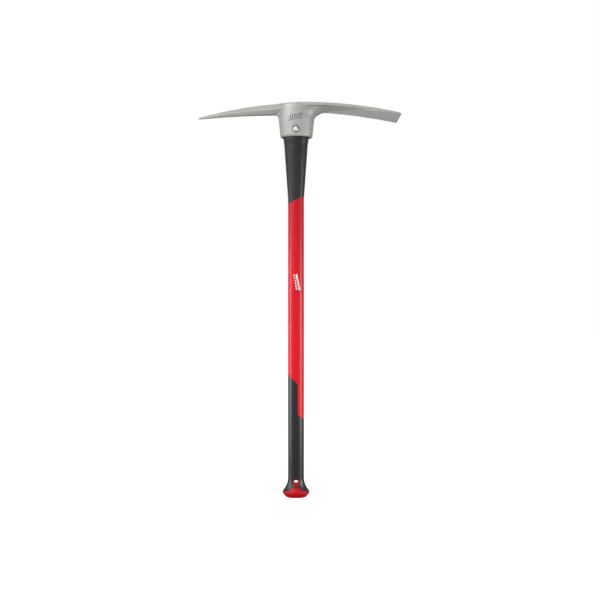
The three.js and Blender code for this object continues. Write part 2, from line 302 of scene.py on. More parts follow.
def cut_bore(piece: bpy.types.Object, x: float, z: float, radius: float, reach: float) -> None:
    """Cuts a round hole along Y right through a piece.

    Args:
        piece: The piece to cut.
        x: The hole's place along X, in millimetres.
        z: The hole's height, in millimetres.
        radius: The hole's radius, in millimetres.
        reach: How far the cutter runs to each side of Y = 0, in millimetres.
    """
    turn = np.linspace(0, 2 * np.pi, 96, endpoint=False)
    depth = np.array([-reach, reach])[:, None]
    grid = np.stack(np.broadcast_arrays(x - radius * np.cos(turn), depth, z + radius * np.sin(turn)), -1)
    ends = (np.array([x, -reach, z]), np.array([x, reach, z]))
    cutter = revolved_piece("bore_cutter", grid, ends)
    tool = piece.modifiers.new("bore", "BOOLEAN")
    tool.operation = "DIFFERENCE"
    tool.solver = "EXACT"
    tool.object = cutter
    graph = bpy.context.evaluated_depsgraph_get()
    cut = bpy.data.meshes.new_from_object(piece.evaluated_get(graph))
    piece.modifiers.clear()
    piece.data = cut
    weld(piece)
    cut.set_sharp_from_angle(angle=math.radians(40))
    bpy.data.objects.remove(cutter)


def net_from_field(
    shape: Field, bend: Callable[[Array], Array], us: Array, vs: Array, ws: Array, rounds: int = 4
) -> tuple[Array, Array]:
    """Wraps a net of quads round the space where a field is negative.

    Each grid cell that the surface crosses gets one point, the mean of the crossings on its
    edges, and each grid edge that the surface crosses joins the four cells around it. Then the
    points are evened out and moved back to the surface along the field's slope.

    Args:
        shape: The field, negative inside.
        bend: Turns rows of grid places into rows of x, y, z, so that the grid follows the form.
        us: Grid places along the first axis.
        vs: Grid places along the second axis.
        ws: Grid places along the third axis.
        rounds: How often the points are evened out.

    Returns:
        Points of shape (n, 3) and quads of shape (m, 4).
    """
    lattice = np.stack(np.meshgrid(us, vs, ws, indexing="ij"), -1)
    value = shape(*np.moveaxis(bend(lattice), -1, 0))
    inside = value < 0
    corners = [(i, j, k) for i in (0, 1) for j in (0, 1) for k in (0, 1)]
    size = tuple(n - 1 for n in value.shape)
    filled = sum(
        inside[i : i + size[0], j : j + size[1], k : k + size[2]].astype(np.int8) for i, j, k in corners
    )
    cells = np.argwhere((filled > 0) & (filled < 8))
    number = np.full(size, -1, np.int64)
    number[tuple(cells.T)] = np.arange(len(cells))
    total, crossings = np.zeros((len(cells), 3)), np.zeros(len(cells))
    for a in range(3):
        for c in (c for c in corners if c[a] == 0):
            start = cells + np.array(c)
            end = start + np.eye(3, dtype=np.int64)[a]
            v0, v1 = value[tuple(start.T)], value[tuple(end.T)]
            crossed = (v0 < 0) != (v1 < 0)
            share = np.where(crossed, v0 / np.where(crossed, v0 - v1, 1), 0)[:, None]
            p0, p1 = lattice[tuple(start.T)], lattice[tuple(end.T)]
            total += np.where(crossed[:, None], p0 + (p1 - p0) * share, 0)
            crossings += crossed
    points = bend(total / crossings[:, None])
    faces = np.concatenate([net_quads(inside, number, a) for a in range(3)])
    sides = np.concatenate([faces[:, [n, (n + 1) % 4]] for n in range(4)])
    degree = np.bincount(sides[:, 0], minlength=len(points))[:, None]
    for _ in range(rounds):
        around = [np.bincount(sides[:, 0], points[sides[:, 1], n], len(points)) for n in range(3)]
        points = settle(shape, points * 0.5 + np.stack(around, 1) / degree * 0.5, 2)
    return points, faces


def net_quads(inside: Array, number: Array, a: int) -> Array:
    """The quads that cross the grid edges of one direction.

    Args:
        inside: Which grid points are in the body.
        number: The net point of each cell, -1 where it has none.
        a: The direction, 0 to 2.

    Returns:
        Quads that face outwards.
    """
    b, c = (a + 1) % 3, (a + 2) % 3
    first = np.take(inside, np.arange(inside.shape[a] - 1), a)
    second = np.take(inside, np.arange(1, inside.shape[a]), a)
    edge = np.argwhere(first != second)
    edge = edge[(edge[:, b] > 0) & (edge[:, c] > 0)]
    edge = edge[(edge[:, b] < number.shape[b]) & (edge[:, c] < number.shape[c])]
    ring = []
    for db, dc in ((1, 1), (0, 1), (0, 0), (1, 0)):
        cell = edge.copy()
        cell[:, b] -= db
        cell[:, c] -= dc
        ring.append(number[tuple(cell.T)])
    quad = np.stack(ring, 1)
    return np.where(first[tuple(edge.T)][:, None], quad, quad[:, ::-1])


def slope_of(shape: Field, points: Array, probe: float = 0.05) -> Array:
    """A field's slope at points, from its values a little to each side along every axis.

    Args:
        shape: The field.
        points: Array of shape (n, 3).
        probe: How far to each side the field is read.

    Returns:
        One slope for each point.
    """
    x, y, z = points.T
    return np.stack([
        shape(x + probe, y, z) - shape(x - probe, y, z),
        shape(x, y + probe, z) - shape(x, y - probe, z),
        shape(x, y, z + probe) - shape(x, y, z - probe),
    ], 1) / (2 * probe)


def settle(shape: Field, points: Array, steps: int) -> Array:
    """Moves points on to a field's surface: back along the slope by the value over its square.

    Args:
        shape: The field.
        points: Array of shape (n, 3).
        steps: How many moves are made.

    Returns:
        The moved points.
    """
    for _ in range(steps):
        slope = slope_of(shape, points)
        square = np.maximum((slope**2).sum(1), 0.05)
        move = np.clip(shape(*points.T) / square, -1.5, 1.5)
        points = points - slope * move[:, None]
    return points


def smooth_curve(stations: tuple[tuple[float, float], ...], x: Array) -> Array:
    """A natural cubic spline through stations: bend is nought at both ends, smooth between.

    Args:
        stations: Pairs of place and value, in rising order of place.
        x: Where the curve is wanted; past the ends it runs on straight.

    Returns:
        The curve's values.
    """
    place, value = np.array(stations, float).T
    gap = np.diff(place)
    rate = np.diff(value) / gap
    system = np.diag(np.full(len(place), 1.0))
    right = np.zeros(len(place))
    for i in range(1, len(place) - 1):
        system[i, i - 1 : i + 2] = gap[i - 1], 2 * (gap[i - 1] + gap[i]), gap[i]
        right[i] = 6 * (rate[i] - rate[i - 1])
    bend = np.linalg.solve(system, right)
    held = np.clip(x, place[0], place[-1])
    i = np.clip(np.searchsorted(place, held) - 1, 0, len(gap) - 1)
    t, h = held - place[i], gap[i]
    start = rate[i] - h * (2 * bend[i] + bend[i + 1]) / 6
    inner = value[i] + t * (start + t * (bend[i] / 2 + t * (bend[i + 1] - bend[i]) / (6 * h)))
    first = rate[0] - gap[0] * bend[1] / 6
    last = rate[-1] + gap[-1] * bend[-2] / 6
    return inner + first * np.minimum(x - place[0], 0) + last * np.maximum(x - place[-1], 0)


# ---- the forged head -----------------------------------------------------------------------


@dataclass
class ForgedHead:
    """The eye, the pick and the adze as one forging, given as a field and wrapped in a net."""

    top: float = HEAD_BOX.high[2]
    bottom: float = HEAD_BOX.low[2] + 2.2
    pick_reach: float = -HEAD_BOX.low[0]
    adze_reach: float = HEAD_BOX.high[0]
    blade: float = HEAD_BOX.high[1]
    screw_x: float = SCREW_BOX.middle(0)
    screw_z: float = SCREW_BOX.middle(2)
    counterbore: float = 8.0
    counterbore_floor: float = -SCREW_WASHER_BOX.high[1] - 0.3
    crest: float = 103.5
    ridge_stations: tuple[tuple[float, float], ...] = (
        (-226.8, 2.4), (-150, 8.0), (-80, 12.6), (-56, 14.0), (-50, 14.4), (-45, 15.3), (-41, 16.9),
        (-37, 19.2), (-33, 22.0), (-29, 24.6), (-25, 26.4), (-20, 27.8), (-14, 29.0), (-8, 29.6),
        (0, 29.9), (16, 30.0),
    )
    flat_stations: tuple[tuple[float, float], ...] = (
        (-226.8, 1.1), (-150, 3.6), (-80, 5.8), (-56, 6.8), (-50, 7.3), (-45, 8.8), (-41, 11.2),
        (-37, 13.9), (-33, 16.6), (-29, 19.0), (-25, 21.2), (-20, 23.6), (-14, 25.8), (-8, 27.4),
        (0, 28.2), (16, 28.6),
    )
    ridge_lift: float = 9.5
    ridge_share: float = 0.44
    hull_bulge: float = 6.5
    hull_inset: float = 6.6
    pick_fall: float = 32.8
    pick_nape: float = 1.15
    pick_base: float = 889.2
    pick_base_fall: float = 11.2
    adze_fall: float = 29.2
    blade_root: float = 30.5
    blade_spread: float = 4.2
    keel_crest: float = 894.5
    keel_fall: tuple[float, float] = (14.6, 14.2)
    keel_back: float = 58.0
    facet_start: float = 69.0
    facet_length: float = 103.0
    strip: float = 9.0
    eye_half: float = 37.2
    eye_widening: float = 3.9
    eye_widest: float = 875.0
    eye_ratio: float = 0.765
    eye_power: float = 2.3
    bore_half: tuple[float, float] = (29.8, 23.6)
    bore_taper: float = 1.8
    cross_hole: float = 5.8

    def drop(self, x: Array) -> Array:
        """How far the top has dropped: a power of the share of the way out along either arm."""
        pick = self.pick_fall * (np.maximum(-x, 0) / self.pick_reach) ** 1.78
        pick = pick - self.pick_nape * ease((-x - 20) / 40)
        return pick + self.adze_fall * (np.maximum(x, 0) / self.adze_reach) ** 2.15

    def top_height(self, x: Array, y: Array) -> Array:
        """Height of the top: level at the eye, dropping along both arms, slightly crowned."""
        crown = (y / 30) ** 2 * (0.3 + 2.3 * np.exp(-(((x + 26) / 24) ** 2)))
        return self.top - self.drop(x) - crown

    def blade_half(self, x: Array) -> Array:
        """Half-width of the adze in plan: nearly straight, then flaring to its edge."""
        t = np.maximum(x, 0) / self.adze_reach
        flare = self.blade - self.blade_root - self.blade_spread
        return self.blade_root + self.blade_spread * t + flare * t**2.2

    def keel_height(self, x: Array) -> Array:
        """Height of the underside on the centre line, falling to the edge and to the eye."""
        out = np.clip((x - self.crest) / (self.adze_reach - self.crest), 0, 1.1)
        back = np.clip((self.crest - x) / self.keel_back, 0, 1.3)
        return self.keel_crest - self.keel_fall[0] * out**1.7 - self.keel_fall[1] * back**3.7

    def facet_half(self, x: Array) -> Array:
        """Half-width of the ground facet under the blade, a root curve from its start."""
        along = np.clip((x - self.facet_start) / self.facet_length, 0, 1)
        return (self.blade_half(x) - 1.2) * np.sqrt(along)

    def strip_height(self, x: Array) -> Array:
        """Height of the blade's upright side, thinner towards the edge."""
        return self.strip - 1.9 * ease((x - 20) / 50) - 2.0 * ease((x - 110) / 80)

    def ridge_half(self, x: Array) -> Array:
        """Half-width of the pick at its side ridges, flaring into the eye."""
        return smooth_curve(self.ridge_stations, x)

    def pick_bottom(self, x: Array) -> Array:
        """Height of the pick's underside."""
        return self.pick_base - self.pick_base_fall * (np.clip(-x, 0, None) / self.pick_reach) ** 2.14

    def ridge_height(self, x: Array) -> Array:
        """Height of the pick's side ridges, which climb to the top as they cross the eye."""
        bottom = self.pick_bottom(x)
        ridge = bottom + self.ridge_share * (self.top - self.drop(x) - bottom)
        return ridge + self.ridge_lift * ease((x + 46) / 52)

    def upper_slope(self, x: Array, y: Array, z: Array) -> Array:
        """The field of the long slopes from the side ridges to the top of the pick and eye."""
        half, ridge = self.ridge_half(x), self.ridge_height(x)
        rise = np.maximum(self.top - self.drop(x) - ridge, 2.0)
        run = half - smooth_curve(self.flat_stations, x)
        return ((np.abs(y) - half) * rise + (z - ridge) * run) / np.hypot(rise, run)

    def pick_field(self, x: Array, y: Array, z: Array) -> Array:
        """The field of the pick: two top and two bottom slopes that meet in a ridge on each side.

        Args:
            x: Places along the head.
            y: Places across it.
            z: Heights.

        Returns:
            The distance, negative inside; it fades out inside the eye.
        """
        half, ridge, bottom = self.ridge_half(x), self.ridge_height(x), self.pick_bottom(x)
        fall, run = ridge - bottom, half - np.minimum(0.46 * half, 6.6)
        lower = ((np.abs(y) - half) * fall + (ridge - z) * run) / np.hypot(fall, run)
        sides = smooth_max(self.upper_slope(x, y, z), lower, 0.9)
        body = smooth_max(sides, bottom - z, 2.0)
        body = smooth_max(body, -x - self.pick_reach, 2.2)
        return body + (np.maximum(x + 24, 0) / 6) ** 2

    def adze_field(self, x: Array, y: Array, z: Array) -> Array:
        """The field of the adze: upright sides over a hull that narrows to the ground facet.

        Args:
            x: Places along the head.
            y: Places across it.
            z: Heights.

        Returns:
            The distance, negative inside; it fades out inside the eye.
        """
        half, keel, facet = self.blade_half(x), self.keel_height(x), self.facet_half(x)
        shoulder = self.top - self.drop(x) - self.strip_height(x)
        depth = np.maximum(shoulder - keel, 0.6)
        run = half - facet
        inner = half - self.hull_inset * (1 - ease((x - 34) / 80))
        hull = ((np.abs(y) - inner) * depth + (shoulder - z) * run) / np.hypot(depth, run)
        share = np.clip((shoulder - z) / depth, 0, 1)
        hull = hull - self.hull_bulge * (1 - ease((x - 38) / 26)) * 4 * share * (1 - share)
        under = smooth_max(hull, keel - z, 1.0 + 9 * np.exp(-((x - 40) / 22) ** 2))
        under = smooth_min(under, shoulder - z, 1.0)
        side = np.abs(y) - half + 0.28 * np.maximum(z - shoulder, 0)
        ends = smooth_max(x - self.adze_reach, side, 6.0)
        plate = smooth_max(ends, smooth_max(under, keel - z, 0.6), 0.8)
        return plate + (np.maximum(18 - x, 0) / 10) ** 2

    def eye_field(self, x: Array, y: Array, z: Array) -> Array:
        """The field of the eye: an oval that widens upwards, with a rounded lower lip."""
        rise = np.clip((z - self.bottom) / (self.eye_widest - self.bottom), 0, 1.05)
        half = self.eye_half + self.eye_widening * rise - 0.2 * np.maximum(z - 900, 0)
        side = oval_distance(x - 1.0, y + 0 * x, half, half * self.eye_ratio, self.eye_power)
        return smooth_max(side, self.bottom - z, 5.0)

    def bore_field(self, x: Array, y: Array, z: Array) -> Array:
        """The field of the hole through the eye, which narrows upwards."""
        taper = self.bore_taper * (z - self.bottom) / (self.top - self.bottom)
        half_x, half_y = self.bore_half
        return oval_distance(x, y, half_x - taper, half_y - taper, self.eye_power)

    def screw_seats(self, x: Array, y: Array, z: Array) -> Array:
        """The field of the two counterbores and the cross hole between them."""
        out = np.hypot(x - self.screw_x, z - self.screw_z) + 0 * y
        seat = np.maximum(out - self.counterbore, self.counterbore_floor - np.abs(y))
        return np.minimum(seat, out - self.cross_hole)

    def hard_corner(self, x: Array, y: Array, z: Array) -> Array:
        """How close a surface point is to an arm's corner, 1 on it and 0 on a flat."""
        half = np.where(x > 0, self.blade_half(x), self.ridge_half(x))
        level = np.where(x > 0, self.top_height(x, y), self.ridge_height(x))
        rim = np.abs(np.abs(y) - half) + np.abs(z - level)
        return np.clip(1 - rim / 3.0, 0, 1)

    def field(self, x: Array, y: Array, z: Array) -> Array:
        """The whole forging: arms blended into the eye, under one top, with its holes cut.

        Args:
            x: Places along the head.
            y: Places across it.
            z: Heights.

        Returns:
            The distance, negative inside.
        """
        low, high = ease((893 - z) / 7), ease((z - 903) / 8)
        body = smooth_min(self.eye_field(x, y, z), self.pick_field(x, y, z), 2.6 + 8.0 * low + 4.0 * high)
        body = smooth_min(body, self.adze_field(x, y, z), 1.2 + 5.8 * ease((902 - z) / 6))
        round_over = 1.8 + 2.2 * np.exp(-(((x + 6) / 30) ** 2))
        body = smooth_max(body, z - self.top_height(x, y), round_over)
        body = smooth_max(body, -self.bore_field(x, y, z), 2.2)
        return smooth_max(body, -self.screw_seats(x, y, z), 0.9)

    def bend(self, grid: Array) -> Array:
        """Bends the grid so that it narrows, flattens and drops with the arms.

        Args:
            grid: Rows of grid places.

        Returns:
            Rows of x, y, z.
        """
        x, v, w = np.moveaxis(grid, -1, 0)
        out = ease((-34 - x) / 34)
        narrow = 1 + out * ((self.ridge_half(x) + 3) / 34 - 1)
        wide = np.where(x > 0, self.blade_half(x) / self.blade_root, narrow)
        height = self.top - self.drop(x) - self.pick_bottom(x)
        flat = 1 + out * ((height + 3) / 28.2 - 1)
        return np.stack([x, v * wide, self.top - self.drop(x) - (self.top - w) * flat], -1)

    def build(self) -> bpy.types.Object:
        """Wraps the field and stores where the metal is ground, which the finish also lightens as a painted
        reflection, and where corners wear.
        """
        xs = np.concatenate([
            np.arange(-self.pick_reach - 3, -52, 1.9), np.arange(-52, 66, 0.95),
            np.arange(66, self.adze_reach + 3, 1.6),
        ])
        half = np.concatenate([np.arange(0.5, 26.4, 1.05), np.arange(26.5, 37, 0.68)])
        ys = np.concatenate([-half[::-1], half])
        zs = np.concatenate([np.arange(self.bottom - 3, 884, 1.05), np.arange(884.2, self.top + 3, 0.62)])
        points, faces = net_from_field(self.field, self.bend, xs, ys, zs)
        piece = make_piece("head_forging", points, faces, sharp=180)
        piece.data.normals_split_custom_set_from_vertices(slope_of(self.field, points))
        x, y, z = points.T
        inside_facet = np.clip((self.facet_half(x) - np.abs(y)) / 0.8, 0, 1)
        on_facet = np.clip(1.4 - np.abs(z - self.keel_height(x)), 0, 1)
        # Mask of the ground facet under the blade: bare steel, which the finish also lightens as a painted
        # reflection of the floor.
        store_attribute(piece, "ground_and_painted_reflection", inside_facet * on_facet * (x > 66))
        store_attribute(piece, "corner", self.hard_corner(x, y, z))
        LOG.info("head_forging has %d quads", len(faces))
        return piece


def store_attribute(piece: bpy.types.Object, name: str, values: Array) -> None:
    """Stores one number for each point of a piece under a name that materials can read.

    Args:
        piece: The piece.
        name: The name.
        values: One number for each point.
    """
    layer = piece.data.attributes.new(name, "FLOAT", "POINT")
    layer.data.foreach_set("value", values.astype(np.float32))


# ---- the handle ----------------------------------------------------------------------------


@dataclass(frozen=True)
class HandleForm:
    """The handle's outer skin: one superellipse whose half-width follows the height."""

    power: float = 2.4
    depth_ratio: float = 0.78
    shaft: float = 18.55
    taper_bottom: float = 676.0
    taper_start: tuple[float, float] = (18.7, 694.5)
    collar_bottom: tuple[float, float] = (27.5, 818.0)
    collar_top: tuple[float, float] = (GUARD_BOX.high[0], 832.0)
    trumpet_top: float = 48.0
    trumpet_foot: float = 14.0
    trumpet_growth: float = 13.0
    bead: float = CAP_BOX.high[0]

    def half_width(self, z: Array) -> Array:
        """Half-width above the butt's bead: trumpet, straight shaft, taper, flared collar.

        Args:
            z: Heights.

        Returns:
            The half-widths. The trumpet and the collar grow by powers of the share of the way.
        """
        drop = np.clip((self.trumpet_top - z) / (self.trumpet_top - self.trumpet_foot), 0, 1)
        trumpet = self.shaft + self.trumpet_growth * drop**2.4
        slope = (self.collar_bottom[0] - self.taper_start[0]) / (self.collar_bottom[1] - self.taper_start[1])
        line = self.taper_start[0] + slope * (z - self.taper_start[1])
        flare = np.clip((z - self.collar_bottom[1]) / (self.collar_top[1] - self.collar_bottom[1]), 0, 1)
        end = self.collar_top[0] - line
        taper = np.where(z > self.collar_bottom[1], line + end * flare**1.5, line)
        rise = np.clip((z - self.taper_bottom) / 30, 0, 1)
        upper = self.shaft * (1 - rise) + taper * rise
        return np.where(z < self.taper_bottom, trumpet, np.maximum(upper, self.shaft))

    def skin(self, turn: Array, z: Array, inset: Array | float = 0.0) -> Array:
        """Points on the skin, moved inwards.

        Args:
            turn: Angles round the handle.
            z: Heights.
            inset: How far the points move in.

        Returns:
            An array with x, y, z last.
        """
        half = self.half_width(z)
        x, y = oval_ring(turn, half - inset, half * self.depth_ratio - inset, self.power)
        return np.stack(np.broadcast_arrays(x, y, z), -1)

    def front_depth(self, x: Array, z: Array) -> Array:
        """How far the skin stands from the middle plane at a place on the front.

        Args:
            x: Places across the handle.
            z: Heights.

        Returns:
            Half-depth times the root of one less the power of x over the half-width.
        """
        half = self.half_width(z)
        share = np.clip(1 - np.abs(x / half) ** self.power, 0, 1)
        return half * self.depth_ratio * share ** (1 / self.power)


FORM = HandleForm()


@dataclass(frozen=True)
class Seams:
    """Where one moulded cover ends and the next begins, as height against x."""

    gap: float = 0.3
    guard_middle: float = 691.0
    guard_slope: float = 18 / 36.5
    step_x: float = 3.7
    step_high: float = 263.0
    step_low: float = 193.6
    step_slope: float = -21 / 22
    cap_edge: float = 16.0
    tab_top: float = CAP_BOX.high[2]
    tab_half: float = 10.0
    tab_base: float = 16.5

    def guard_edge(self, x: Array) -> Array:
        """The guard's straight sloping edge."""
        return self.guard_middle + self.guard_slope * x

    def grip_edge(self, x: Array) -> Array:
        """The rear grip's edge: high on the -X side, a step down, then low."""
        high = self.step_high + self.step_slope * (x - self.step_x)
        low = self.step_low + self.step_slope * (x - self.step_x)
        return np.where(x < self.step_x, high, low)

    def cap_edge_height(self, x: Array) -> Array:
        """The cap's edge: level, with one tab that rises on an eased curve."""
        rise = ease((self.tab_base - np.abs(x)) / (self.tab_base - self.tab_half))
        return self.cap_edge + (self.tab_top - self.cap_edge) * rise


SEAMS = Seams()


def seam_on_skin(edge: Callable[[Array], Array], turn: Array) -> Array:
    """Height at which each column of the skin meets a seam, found by repeated substitution.

    Args:
        edge: The seam's height against x.
        turn: Angles of the columns.

    Returns:
        One height for each column.
    """
    z = np.full(turn.shape, 20.0)
    for _ in range(60):
        x, _ = oval_ring(turn, FORM.half_width(z), FORM.half_width(z) * FORM.depth_ratio, FORM.power)
        z = 0.5 * z + 0.5 * edge(x)
    return z


def stepped_turns(count: int, x: float, half: float) -> Array:
    """Even turns round the oval with a close pair added at a step, in front and behind.

    Args:
        count: How many even turns.
        x: Where the step is along X.
        half: The oval's half-width there.

    Returns:
        The sorted angles.
    """
    even = np.linspace(0, 2 * np.pi, count, endpoint=False)
    at = math.acos((x / half) ** (FORM.power / 2))
    pair = np.array([at - 0.002, at + 0.002])
    near = np.abs(even - at) < 0.008
    far = np.abs(even - (2 * np.pi - at)) < 0.008
    return np.sort(np.concatenate([even[~(near | far)], pair, 2 * np.pi - pair]))


def sleeve_grid(
    turn: Array, low: Array, high: Array, rows: Array, wall: float, lip: float,
    relief: Callable[[Array, Array], Array] | None = None,
) -> Array:
    """A closed ring grid for a moulded sleeve: outside up, over the lip, inside down.

    Args:
        turn: Angles of the columns.
        low: Height of the lower edge at each column.
        high: Height of the upper edge at each column.
        rows: Shares from 0 to 1 at which the outside has rows.
        wall: Wall thickness.
        lip: Radius of the two edges.
        relief: Extra height of the outside over the skin, from x and z.

    Returns:
        An array of shape (rows, columns, 3).
    """
    corner = np.linspace(0, np.pi / 2, 5)
    outside = low + lip + (high - low - 2 * lip) * rows[:, None]
    inner = np.linspace(1, 0, 24)
    z = [
        low + lip * (1 - np.cos(corner))[:, None],
        outside,
        high - lip * (1 - np.sin(corner))[:, None],
        low + 0.02 + (high - low - 0.04) * inner[:, None],
    ]
    inset = [
        lip * (1 - np.sin(corner)),
        np.zeros(len(rows)),
        lip * (1 - np.cos(corner)),
        np.full(len(inner), wall),
    ]
    heights = np.concatenate([np.broadcast_to(part, (part.shape[0], len(turn))) for part in z])
    insets = np.concatenate(inset)[:, None]
    grid = FORM.skin(turn[None, :], heights, insets)
    if relief is None:
        return grid
    out = relief(grid[..., 0], heights) * (insets < wall)
    centre = np.stack([0 * heights, 0 * heights, heights], -1)
    direction = (grid - centre) / np.linalg.norm(grid - centre, axis=-1, keepdims=True)
    return grid + direction * out[..., None]


@dataclass
class Guard:
    """The overstrike guard: tapered rubber with a raised panel on the front and the back."""

    wall: float = 2.9
    panel_top: float = 815.8
    panel_half: float = 14.6
    panel_rise: float = 0.7
    fade_from: float = 766.0
    fade_length: float = 44.0
    lip: float = 0.5

    def relief(self, x: Array, z: Array) -> Array:
        """The panel that sinks away downwards, with a narrow groove along its sides.

        Args:
            x: Places across the guard.
            z: Heights.

        Returns:
            How far the surface stands out over the skin.
        """
        fade = ease((z - self.fade_from) / self.fade_length)
        half = self.panel_half * FORM.half_width(z) / FORM.half_width(np.array(self.panel_top))
        across = ease((half - np.abs(x)) / 1.0 + 0.5)
        below = ease((self.panel_top - z) / 2.6 + 0.5)
        panel = self.panel_rise * fade * across * below
        groove = np.exp(-(((np.abs(x) - half - 0.7) / 0.75) ** 2)) * fade
        return panel - 0.5 * groove * below

    def build(self) -> bpy.types.Object:
        """Builds the sleeve between the sloping seam and the collar's top."""
        turn = np.linspace(0, 2 * np.pi, 300, endpoint=False)
        low = seam_on_skin(SEAMS.guard_edge, turn)
        high = np.full(turn.shape, GUARD_BOX.high[2])
        rows = np.unique(np.concatenate([np.linspace(0, 1, 130), np.linspace(0.81, 0.9, 60)]))
        grid = sleeve_grid(turn, low, high, rows, self.wall, self.lip, self.relief)
        return revolved_piece("guard_sleeve", grid, None)


@dataclass
class Jacket:
    """The red jacket that shows between the guard and the rear grip."""

    wall: float = 4.2
    lip: float = 0.35

    def build(self) -> bpy.types.Object:
        """Builds the sleeve between the grip's stepped seam and the guard's sloping one."""
        turn = stepped_turns(220, SEAMS.step_x + SEAMS.gap, FORM.shaft)
        low = seam_on_skin(lambda x: SEAMS.grip_edge(x - SEAMS.gap) + SEAMS.gap, turn)
        high = seam_on_skin(lambda x: SEAMS.guard_edge(x) - SEAMS.gap, turn)
        grid = sleeve_grid(turn, low, high, np.linspace(0, 1, 120), self.wall, self.lip)
        return revolved_piece("red_jacket", grid, None)


@dataclass
class RearGrip:
    """The black rubber sleeve over the lower handle, flared at the butt."""

    wall: float = 2.9
    lip: float = 0.45
    hole: float = BUSH_BOX.size(0) / 2 - 0.1

    def build(self) -> bpy.types.Object:
        """Builds the sleeve between the cap's edge and the stepped seam, with its hole."""
        turn = stepped_turns(260, SEAMS.step_x, FORM.shaft)
        low = seam_on_skin(lambda x: SEAMS.cap_edge_height(x) + SEAMS.gap, turn)
        high = seam_on_skin(SEAMS.grip_edge, turn)
        rows = np.linspace(0, 1, 150) ** 1.8
        piece = revolved_piece("grip_sleeve", sleeve_grid(turn, low, high, rows, self.wall, self.lip), None)
        cut_bore(piece, BUSH_BOX.middle(0), BUSH_BOX.middle(2), self.hole, reach=30)
        return piece


@dataclass
class ButtCap:
    """The red cap: flat end, chamfer, bead, and a tab up the front and the back."""

    flat: float = 20.5
    bead_z: float = 11.8
    foot: float = 16.6
    foot_half: float = 29.1
    lip: float = 0.45
    lip_depth: float = 2.9
    pocket: float = 15.4
    pocket_ratio: float = 0.74
    pocket_top: float = 14.0
    pocket_floor: float = 4.8

    def outline(self) -> Array:
        """Half-width and height from the middle of the flat end, round the bead, to its foot."""
        bead, chamfer = FORM.bead, (self.flat + 3.4, 1.4)
        return np.concatenate([
            np.stack([np.linspace(2, self.flat, 10), np.zeros(10)], 1),
            bezier([(self.flat, 0), (self.flat + 2, 0), chamfer], 7)[1:],
            bezier([chamfer, (bead - 3, 6.0)], 8)[1:],
            bezier([(bead - 3, 6.0), (bead, 9.0), (bead, self.bead_z)], 10)[1:],
            bezier([(bead, self.bead_z), (bead, self.bead_z + 2.6), (self.foot_half, self.foot)], 10)[1:],
        ])

    def build(self) -> bpy.types.Object:
        """Builds the cap as rings from the middle of the end out, up, over and down inside."""
        turn = np.linspace(0, 2 * np.pi, 320, endpoint=False)
        edge = seam_on_skin(SEAMS.cap_edge_height, turn)
        rows = [self.ring(turn, half, FORM.depth_ratio, np.minimum(z, edge)) for half, z in self.outline()]
        upper = self.foot + (np.maximum(edge, self.foot) - self.foot) * np.linspace(0, 1, 9)[1:, None]
        rows.extend(FORM.skin(turn[None, :], np.minimum(upper, edge), 0.0))
        rim = np.linspace(0, 1, 5)[1:, None]
        lowered = np.minimum(edge, self.foot + 7) - self.lip * rim**2
        rows.extend(FORM.skin(turn[None, :], lowered, self.lip * rim + 0 * turn))
        rows.extend(FORM.skin(turn[None, :], edge[None, :] - 0.6, np.array([[self.lip_depth]])))
        for half, z in ((1, self.pocket_top), (1, self.pocket_floor), (0.1, self.pocket_floor)):
            rows.append(self.ring(turn, self.pocket * half, self.pocket_ratio, z))
        poles = (np.array([0, 0, 0.0]), np.array([0, 0, self.pocket_floor]))
        return revolved_piece("end_cap", np.array(rows), poles, sharp=50)

    def ring(self, turn: Array, half: float, ratio: float, z: Array | float) -> Array:
        """One oval ring of the cap.

        Args:
            turn: Angles of the columns.
            half: Half-width.
            ratio: Half-depth as a share of it.
            z: Height, or one for each column.

        Returns:
            An array of points.
        """
        x, y = oval_ring(turn, half, half * ratio, FORM.power)
        return np.stack([x, y, z + 0 * x], -1)


@dataclass
class Bush:
    """The red tube that lines the lanyard hole, with a low rounded lip at both ends."""

    radius: float = BUSH_BOX.size(0) / 2
    bore: float = 5.65
    proud: float = 0.35

    def build(self) -> bpy.types.Object:
        """Builds the tube: each end follows the handle's skin and rounds into the bore."""
        turn = np.linspace(0, 2 * np.pi, 120, endpoint=False)
        middle = (self.radius + self.bore) / 2
        half = (self.radius - self.bore) / 2
        arc = np.linspace(-np.pi / 2, np.pi / 2, 13)
        radius = middle + half * np.sin(arc)
        lift = self.proud * np.cos(arc)
        x = BUSH_BOX.middle(0) + radius[:, None] * np.cos(turn)
        z = BUSH_BOX.middle(2) - radius[:, None] * np.sin(turn)
        depth = FORM.front_depth(x, z) + lift[:, None] - 0.25
        front = np.stack([x, -depth, z], -1)
        back = np.stack([x, depth, z], -1)[::-1]
        grid = np.concatenate([front, back])
        return revolved_piece("hole_bush", grid, None, sharp=60)


# ---- the eye's filling and its cross fastening ---------------------------------------------


